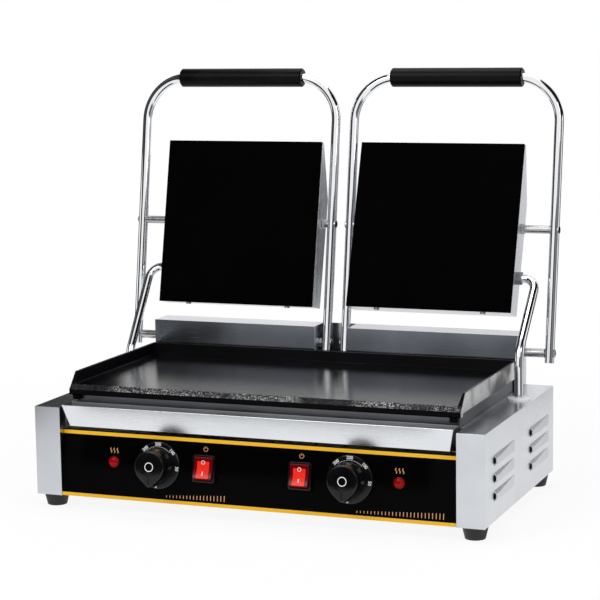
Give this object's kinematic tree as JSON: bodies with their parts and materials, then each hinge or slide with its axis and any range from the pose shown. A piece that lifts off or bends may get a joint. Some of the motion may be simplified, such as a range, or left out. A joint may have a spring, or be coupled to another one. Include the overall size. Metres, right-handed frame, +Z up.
{
  "type": "contact grill",
  "caption": "Countertop double contact grill: one long flat griddle, two floating upper plates on bent-tube handles, knobs, rocker switches, lamps and a pull-out drip tray.",
  "frame": {"origin": "middle of the whole object's outline, left to right and front to back, at the height of the feet's soles", "axes": "+X to the cook's right, +Y away from the cook towards the hinges, +Z up"},
  "size_m": [0.5736, 0.3782, 0.5134],
  "materials": {
    "stainless": "satin",
    "dark_stainless": "satin",
    "chrome_tube": "polished",
    "cast_iron_black": "glossy enamel",
    "plate_black": "matt coating",
    "panel_black": "glossy",
    "grip_black": "fine grain",
    "black_plastic": "glossy",
    "red_plastic": "translucent",
    "white_plastic": "satin",
    "rubber_black": "matt",
    "plated_steel": "zinc plated",
    "bronze": "sintered",
    "mineral_wool": "matt",
    "element_sheath": "oxidised"
  },
  "bodies": {
    "body": {"chassis": "stainless", "top_deck": "stainless", "front_wall": "dark_stainless", "rear_panel": "stainless", "control_panel": "panel_black", "griddle": "cast_iron_black", "griddle_support": "dark_stainless", "lower_insulation": "mineral_wool", "element_clamp_sheet": "plated_steel", "terminal_block": "white_plastic", "cable_gland": "black_plastic", "rear_panel_screws": "plated_steel", "feet": "rubber_black", "foot_screws": "plated_steel", "lower_elements": "element_sheath", "hinge_brackets": "plated_steel", "hinge_bushes": "bronze", "counterbalance_springs": "plated_steel", "conduit_bushes": "white_plastic", "thermostats": "plated_steel", "thermostat_bulbs": "plated_steel", "switch_housings": "black_plastic", "pilot_lamps": "red_plastic", "left_end_cover": "stainless", "left_hinge_housing": "stainless", "left_conduit": "chrome_tube", "right_end_cover": "stainless", "right_hinge_housing": "stainless", "right_conduit": "chrome_tube"},
    "tray": {"drip_tray": "stainless"},
    "left_lid_body": {"left_hinge_shaft": "plated_steel", "left_handle_frame": "chrome_tube", "left_handle_grip": "grip_black", "left_axle_screws": "plated_steel"},
    "left_pins_body": {"left_pivot_pins": "plated_steel"},
    "left_plate_body": {"left_upper_plate": "plate_black", "left_plate_cover": "stainless", "left_plate_fittings": "plated_steel", "left_plate_screws": "plated_steel", "left_upper_element": "element_sheath", "left_upper_insulation": "mineral_wool"},
    "left_knob_body": {"left_knob": "black_plastic", "left_spindle": "plated_steel"},
    "left_switch_body": {"left_rocker": "red_plastic"},
    "right_lid_body": {"right_hinge_shaft": "plated_steel", "right_handle_frame": "chrome_tube", "right_handle_grip": "grip_black", "right_axle_screws": "plated_steel"},
    "right_pins_body": {"right_pivot_pins": "plated_steel"},
    "right_plate_body": {"right_upper_plate": "plate_black", "right_plate_cover": "stainless", "right_plate_fittings": "plated_steel", "right_plate_screws": "plated_steel", "right_upper_element": "element_sheath", "right_upper_insulation": "mineral_wool"},
    "right_knob_body": {"right_knob": "black_plastic", "right_spindle": "plated_steel"},
    "right_switch_body": {"right_rocker": "red_plastic"}
  },
  "joints": [
    {"name": "drip_tray_slide", "type": "slide", "parent": "body", "child": "tray", "axis": [0, -1, 0], "range_m": [0, 0.12]},
    {"name": "left_lid_hinge", "type": "hinge", "parent": "body", "child": "left_lid_body", "pos_m": [-0.14585, 0.12398, 0.1661], "axis": [1, 0, 0], "range_deg": [0, 97.54], "stiffness_Nm_per_rad": 2.4, "deforming": ["left_conduit"]},
    {"name": "left_plate_levelling", "type": "hinge", "parent": "left_lid_body", "child": "left_pins_body", "pos_m": [-0.1315, 0.14771, 0.31593], "axis": [1, 0, 0], "range_deg": [0, 5.1]},
    {"name": "left_plate_float", "type": "hinge", "parent": "left_pins_body", "child": "left_plate_body", "pos_m": [-0.1315, 0.14771, 0.31593], "axis": [-1, 0, 0], "range_deg": [-20, 0]},
    {"name": "left_knob_turn", "type": "hinge", "parent": "body", "child": "left_knob_body", "pos_m": [-0.1197, -0.15814, 0.06016], "axis": [0, 0.9924, -0.1233], "range_deg": [0, 270]},
    {"name": "left_rocker_rock", "type": "hinge", "parent": "body", "child": "left_switch_body", "pos_m": [-0.06, -0.15913, 0.06028], "axis": [1, 0, 0], "range_deg": [0, 20]},
    {"name": "right_lid_hinge", "type": "hinge", "parent": "body", "child": "right_lid_body", "pos_m": [0.14585, 0.12398, 0.1661], "axis": [1, 0, 0], "range_deg": [0, 97.54], "stiffness_Nm_per_rad": 2.4, "deforming": ["right_conduit"]},
    {"name": "right_plate_levelling", "type": "hinge", "parent": "right_lid_body", "child": "right_pins_body", "pos_m": [0.1315, 0.14771, 0.31593], "axis": [1, 0, 0], "range_deg": [0, 11.1]},
    {"name": "right_plate_float", "type": "hinge", "parent": "right_pins_body", "child": "right_plate_body", "pos_m": [0.1315, 0.14771, 0.31593], "axis": [-1, 0, 0], "range_deg": [-20, 0]},
    {"name": "right_knob_turn", "type": "hinge", "parent": "body", "child": "right_knob_body", "pos_m": [0.1197, -0.15814, 0.06016], "axis": [0, 0.9924, -0.1233], "range_deg": [0, 270]},
    {"name": "right_rocker_rock", "type": "hinge", "parent": "body", "child": "right_switch_body", "pos_m": [0.06, -0.15913, 0.06028], "axis": [1, 0, 0], "range_deg": [0, 20]}
  ],
  "couplings": [
    {"joint": "left_plate_levelling", "follows": "left_lid_hinge", "ratio": 0.04873},
    {"joint": "right_plate_levelling", "follows": "right_lid_hinge", "ratio": 0.11024}
  ]
}
